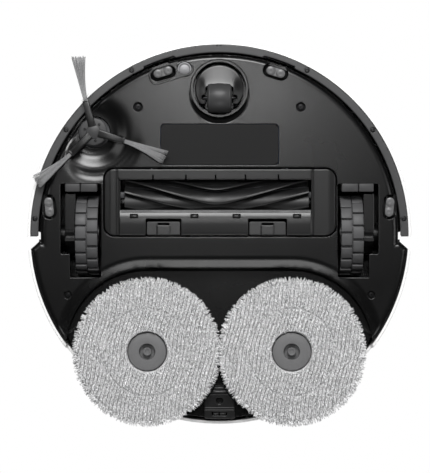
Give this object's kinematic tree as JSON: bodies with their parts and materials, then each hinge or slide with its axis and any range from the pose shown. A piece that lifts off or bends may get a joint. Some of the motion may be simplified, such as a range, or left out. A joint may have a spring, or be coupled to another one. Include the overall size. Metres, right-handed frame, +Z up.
{
  "type": "robot vacuum",
  "caption": "Round floor-cleaning robot with side brush, rubber main brush, sprung drive wheels, swivel caster, laser turret and lifting counter-rotating mop pads.",
  "frame": {"origin": "centre of the round body on the floor that the wheels stand on", "axes": "+Z up, -Y is the robot's front (bumper and caster), +X is the robot's left; the side brush is on the right (-X)"},
  "size_m": [0.35, 0.35, 0.099],
  "materials": {
    "white_shell": "satin",
    "key_plastic": "satin",
    "chassis_black": "satin",
    "label_film": "matte",
    "rail_grey": "satin",
    "module_black": "satin",
    "inner_plastic": "matte",
    "tyre_rubber": "matte",
    "caster_grey": "satin",
    "fin_rubber": "satin",
    "bristle_grey": "satin",
    "hub_grey": "satin",
    "mop_fabric": "terry",
    "steel": "satin",
    "contact_metal": "polished",
    "battery_wrap": "satin",
    "board_green": "satin",
    "bin_smoke": "gloss",
    "filter_paper": "pleated",
    "tank_plastic": "gloss",
    "sensor_dark": "gloss",
    "sensor_lens": "gloss",
    "sensor_metal": "satin"
  },
  "bodies": {
    "body": {"bottom_chassis": "chassis_black", "chassis_wall": "chassis_black", "mop_bay": "chassis_black", "wheel_housings": "chassis_black", "lidar_posts": "white_shell", "rear_tongue": "chassis_black", "top_shell": "white_shell", "rear_shell": "white_shell", "charge_contacts": "contact_metal", "label_plate": "label_film", "battery_pack": "battery_wrap", "main_board": "board_green", "suction_fan": "inner_plastic", "dust_bin": "bin_smoke", "bin_filter": "filter_paper", "water_tank": "tank_plastic", "side_brush_motor": "inner_plastic", "main_brush_motor": "inner_plastic", "brush_housing": "chassis_black", "wheel_brackets": "module_black", "pivot_pins": "steel", "wheel_springs": "steel", "caster_socket": "chassis_black", "cliff_windows": "sensor_dark", "cliff_lenses": "sensor_lens", "carpet_sensor": "sensor_metal", "chassis_screws": "steel", "lidar_cage": "white_shell", "lidar_cap": "white_shell", "brush_bearings": "module_black"},
    "bumper": {"bumper_shell": "white_shell", "bumper_rail": "rail_grey", "bumper_screws": "steel", "bumper_window": "sensor_dark"},
    "right_arm": {"right_wheel_arm": "module_black"},
    "left_arm": {"left_wheel_arm": "module_black"},
    "right_wheel": {"right_wheel_hub": "module_black", "right_tyre": "tyre_rubber"},
    "left_wheel": {"left_wheel_hub": "module_black", "left_tyre": "tyre_rubber"},
    "caster_fork": {"caster_swivel": "module_black", "caster_axle": "steel"},
    "caster_roller": {"caster_wheel": "caster_grey"},
    "side_brush": {"side_brush_hub": "module_black", "side_brush_bristles": "bristle_grey"},
    "main_brush": {"brush_core": "inner_plastic", "brush_fins": "fin_rubber"},
    "guard": {"brush_guard": "module_black"},
    "right_tab": {"right_latch": "module_black"},
    "left_tab": {"left_latch": "module_black"},
    "mop_frame": {"mop_carriage": "inner_plastic", "mop_motor": "steel"},
    "right_mop": {"right_mop_plate": "hub_grey", "right_mop_pad": "mop_fabric"},
    "left_mop": {"left_mop_plate": "hub_grey", "left_mop_pad": "mop_fabric"},
    "lidar_head": {"lidar_rotor": "sensor_dark"},
    "lid": {"top_lid": "white_shell"},
    "power_button": {"power_key": "key_plastic"},
    "home_button": {"home_key": "key_plastic"}
  },
  "joints": [
    {"name": "bumper_press", "type": "slide", "parent": "body", "child": "bumper", "axis": [0, 1, 0], "range_m": [0, 0.0025], "stiffness_N_per_m": 400, "springref_m": -0.002},
    {"name": "right_wheel_swing", "type": "hinge", "parent": "body", "child": "right_arm", "pos_m": [-0.125, -0.0417, 0.034], "axis": [-1, 0, 0], "range_deg": [0, 24], "stiffness_Nm_per_rad": 0.25, "springref_deg": 51.57},
    {"name": "left_wheel_swing", "type": "hinge", "parent": "body", "child": "left_arm", "pos_m": [0.125, -0.0417, 0.034], "axis": [-1, 0, 0], "range_deg": [0, 24], "stiffness_Nm_per_rad": 0.25, "springref_deg": 51.57},
    {"name": "right_wheel_spin", "type": "hinge", "parent": "right_arm", "child": "right_wheel", "pos_m": [-0.12065, 0.0015, 0.037], "axis": [1, 0, 0], "continuous": true},
    {"name": "left_wheel_spin", "type": "hinge", "parent": "left_arm", "child": "left_wheel", "pos_m": [0.12065, 0.0015, 0.037], "axis": [1, 0, 0], "continuous": true},
    {"name": "caster_swivel_turn", "type": "hinge", "parent": "body", "child": "caster_fork", "pos_m": [0, -0.132, 0.03], "axis": [0, 0, 1], "continuous": true},
    {"name": "caster_wheel_spin", "type": "hinge", "parent": "caster_fork", "child": "caster_roller", "pos_m": [0, -0.1235, 0.0135], "axis": [1, 0, 0], "continuous": true},
    {"name": "side_brush_spin", "type": "hinge", "parent": "body", "child": "side_brush", "pos_m": [-0.1141, -0.0923, 0.01], "axis": [0, 0, 1], "continuous": true},
    {"name": "main_brush_spin", "type": "hinge", "parent": "body", "child": "main_brush", "pos_m": [0, -0.035, 0.0194], "axis": [1, 0, 0], "continuous": true},
    {"name": "brush_guard_open", "type": "hinge", "parent": "body", "child": "guard", "pos_m": [0, -0.0582, 0.0089], "axis": [1, 0, 0], "range_deg": [-40, 0]},
    {"name": "right_latch_press", "type": "slide", "parent": "guard", "child": "right_tab", "axis": [0, -1, 0], "range_m": [0, 0.002], "stiffness_N_per_m": 300, "springref_m": -0.001},
    {"name": "left_latch_press", "type": "slide", "parent": "guard", "child": "left_tab", "axis": [0, -1, 0], "range_m": [0, 0.002], "stiffness_N_per_m": 300, "springref_m": -0.001},
    {"name": "mop_lift", "type": "slide", "parent": "body", "child": "mop_frame", "axis": [0, 0, 1], "range_m": [0, 0.01]},
    {"name": "right_mop_spin", "type": "hinge", "parent": "mop_frame", "child": "right_mop", "pos_m": [-0.0656, 0.1073, 0.012], "axis": [0, 0, 1], "continuous": true},
    {"name": "left_mop_spin", "type": "hinge", "parent": "mop_frame", "child": "left_mop", "pos_m": [0.0656, 0.1073, 0.012], "axis": [0, 0, 1], "continuous": true},
    {"name": "lidar_spin", "type": "hinge", "parent": "body", "child": "lidar_head", "pos_m": [0, 0.038, 0.075], "axis": [0, 0, 1], "continuous": true},
    {"name": "lid_hinge", "type": "hinge", "parent": "body", "child": "lid", "pos_m": [0, -0.0186, 0.0784], "axis": [-1, 0, 0], "range_deg": [0, 75]},
    {"name": "power_key_press", "type": "slide", "parent": "body", "child": "power_button", "axis": [0, 0, -1], "range_m": [0, 0.0008], "stiffness_N_per_m": 500},
    {"name": "home_key_press", "type": "slide", "parent": "body", "child": "home_button", "axis": [0, 0, -1], "range_m": [0, 0.0008], "stiffness_N_per_m": 500}
  ],
  "couplings": [
    {"joint": "left_mop_spin", "follows": "right_mop_spin", "ratio": -1}
  ]
}
